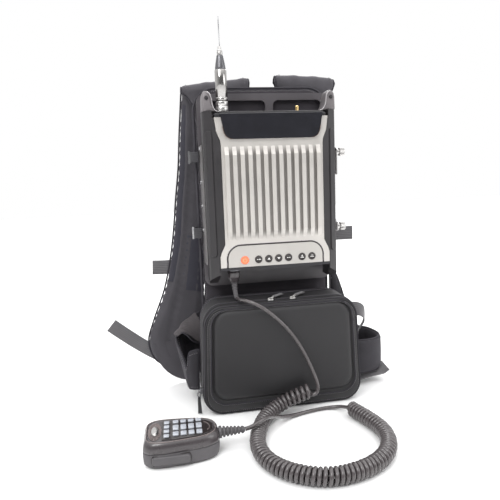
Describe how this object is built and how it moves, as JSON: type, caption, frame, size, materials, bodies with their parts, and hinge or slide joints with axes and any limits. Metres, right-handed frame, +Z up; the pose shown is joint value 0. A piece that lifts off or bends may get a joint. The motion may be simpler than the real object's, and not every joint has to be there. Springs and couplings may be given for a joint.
{
  "type": "backpack two way radio",
  "caption": "Backpack two way radio: finned radio unit on a padded carrier with shoulder straps, battery pouch and keypad hand microphone on a curly cord.",
  "frame": {"origin": "on the flat underside of the battery pouch, in the middle of its width, below the radio's front face", "axes": "+X along the wearer's width, radio front faces -Y, +Z up"},
  "size_m": [0.5164, 0.4126, 0.65],
  "materials": {
    "silver_paint": "warm silver paint, fine satin",
    "gloss_black": "high gloss",
    "housing_black": "fine textured paint",
    "bumper_plastic": "satin moulded plastic",
    "silicone": "soft matte",
    "board": "solder mask",
    "brushed_metal": "machined",
    "steel": "plated",
    "silver_metal": "bead blasted and anodised",
    "dark_metal": "dark satin",
    "brass": "gold plated",
    "key_orange": "translucent key cap",
    "key_black": "semi gloss key cap",
    "bracket_grey": "grey powder coat",
    "pad_fabric": "woven nylon with piping",
    "strap_fabric": "woven nylon over foam",
    "webbing": "ribbed webbing",
    "pouch_skin": "formed nylon skin over a hard case",
    "zip_tape": "nylon coil zip",
    "battery_wrap": "shrink wrap",
    "mic_plastic": "fine spark texture",
    "mic_rubber": "moulded rubber",
    "cord_jacket": "satin polyurethane jacket"
  },
  "bodies": {
    "root": {"front_casting": "silver_paint", "badge_panel": "gloss_black", "control_panel": "silver_paint", "button_mat": "silicone", "main_board": "board", "duplexer": "brushed_metal", "rear_housing": "housing_black", "casing_screws": "steel", "top_plate": "housing_black", "side_bumpers": "bumper_plastic", "bumper_grips": "bumper_plastic", "bumper_ears": "bumper_plastic", "antenna_connector": "steel", "gps_connector": "brass", "mic_socket": "dark_metal", "side_brackets": "bracket_grey", "bracket_screws": "steel", "bolt_plates": "housing_black", "thumb_bolts": "silver_metal", "carrier_plate": "bumper_plastic", "back_pad": "pad_fabric", "shoulder_strap_left": "strap_fabric", "shoulder_strap_right": "strap_fabric", "ladder_locks": "steel", "harness_webbing": "webbing", "pouch_front_shell": "pouch_skin", "pouch_back_shell": "pouch_skin", "zip_chain": "zip_tape", "battery_pack": "battery_wrap", "mic_rear_cover": "mic_plastic", "mic_front_cover": "mic_plastic", "mic_keypad": "silicone", "mic_emblem": "silver_metal", "mic_speaker": "dark_metal", "mic_boot": "mic_rubber", "cord_plug": "mic_plastic", "plug_boot": "mic_rubber", "cord_lead": "cord_jacket", "cord_coil": "cord_jacket", "cord_tail": "cord_jacket"},
    "power_key": {"power_button": "key_orange"},
    "key_1": {"function_key_1": "key_black"},
    "key_2": {"function_key_2": "key_black"},
    "key_3": {"function_key_3": "key_black"},
    "key_4": {"function_key_4": "key_black"},
    "key_5": {"function_key_5": "key_black"},
    "key_6": {"function_key_6": "key_black"},
    "ptt": {"mic_ptt_button": "mic_rubber"},
    "antenna": {"antenna_nut": "steel", "antenna_body": "silver_metal", "antenna_cone": "dark_metal", "antenna_bushing": "silver_metal", "antenna_whip": "steel"},
    "slider_left": {"zip_slider_left": "silver_metal"},
    "slider_right": {"zip_slider_right": "silver_metal"},
    "tab_left": {"zip_pull_left": "webbing"},
    "tab_right": {"zip_pull_right": "webbing"},
    "side_tab": {"side_pull": "webbing"},
    "wing_left": {"hip_wing_left": "strap_fabric"},
    "wing_right": {"hip_wing_right": "strap_fabric"}
  },
  "joints": [
    {"name": "power_key_press", "type": "slide", "parent": "root", "child": "power_key", "axis": [0, 1, 0], "range_m": [0, 0.0012], "stiffness_N_per_m": 400},
    {"name": "key_1_press", "type": "slide", "parent": "root", "child": "key_1", "axis": [0, 1, 0], "range_m": [0, 0.0012], "stiffness_N_per_m": 400},
    {"name": "key_2_press", "type": "slide", "parent": "root", "child": "key_2", "axis": [0, 1, 0], "range_m": [0, 0.0012], "stiffness_N_per_m": 400},
    {"name": "key_3_press", "type": "slide", "parent": "root", "child": "key_3", "axis": [0, 1, 0], "range_m": [0, 0.0012], "stiffness_N_per_m": 400},
    {"name": "key_4_press", "type": "slide", "parent": "root", "child": "key_4", "axis": [0, 1, 0], "range_m": [0, 0.0012], "stiffness_N_per_m": 400},
    {"name": "key_5_press", "type": "slide", "parent": "root", "child": "key_5", "axis": [0, 1, 0], "range_m": [0, 0.0012], "stiffness_N_per_m": 400},
    {"name": "key_6_press", "type": "slide", "parent": "root", "child": "key_6", "axis": [0, 1, 0], "range_m": [0, 0.0012], "stiffness_N_per_m": 400},
    {"name": "ptt_press", "type": "slide", "parent": "root", "child": "ptt", "axis": [0.0262, 0.9997, 0], "range_m": [0, 0.0015], "stiffness_N_per_m": 600},
    {"name": "antenna_screw", "type": "hinge", "parent": "root", "child": "antenna", "pos_m": [-0.079, 0.018, 0.508], "axis": [0, 0, 1], "continuous": true},
    {"name": "zip_left_run", "type": "slide", "parent": "root", "child": "slider_left", "axis": [1, 0, 0], "range_m": [-0.022, 0.008]},
    {"name": "zip_right_run", "type": "slide", "parent": "root", "child": "slider_right", "axis": [1, 0, 0], "range_m": [-0.008, 0.06]},
    {"name": "tab_left_lift", "type": "hinge", "parent": "slider_left", "child": "tab_left", "pos_m": [-0.014, -0.0185, 0.1902], "axis": [0.6691, -0.7431, 0], "range_deg": [0, 95]},
    {"name": "tab_right_lift", "type": "hinge", "parent": "slider_right", "child": "tab_right", "pos_m": [0.024, -0.0185, 0.1902], "axis": [0.6691, -0.7431, 0], "range_deg": [0, 95]},
    {"name": "side_tab_swing", "type": "hinge", "parent": "root", "child": "side_tab", "pos_m": [-0.1445, -0.0218, 0.04], "axis": [0, 1, 0], "range_deg": [-2, 40]},
    {"name": "wing_left_open", "type": "hinge", "parent": "root", "child": "wing_left", "pos_m": [-0.127, 0.092, 0.09], "axis": [0, 0, -1], "range_deg": [0, 40]},
    {"name": "wing_right_open", "type": "hinge", "parent": "root", "child": "wing_right", "pos_m": [0.127, 0.092, 0.09], "axis": [0, 0, 1], "range_deg": [0, 40]}
  ]
}
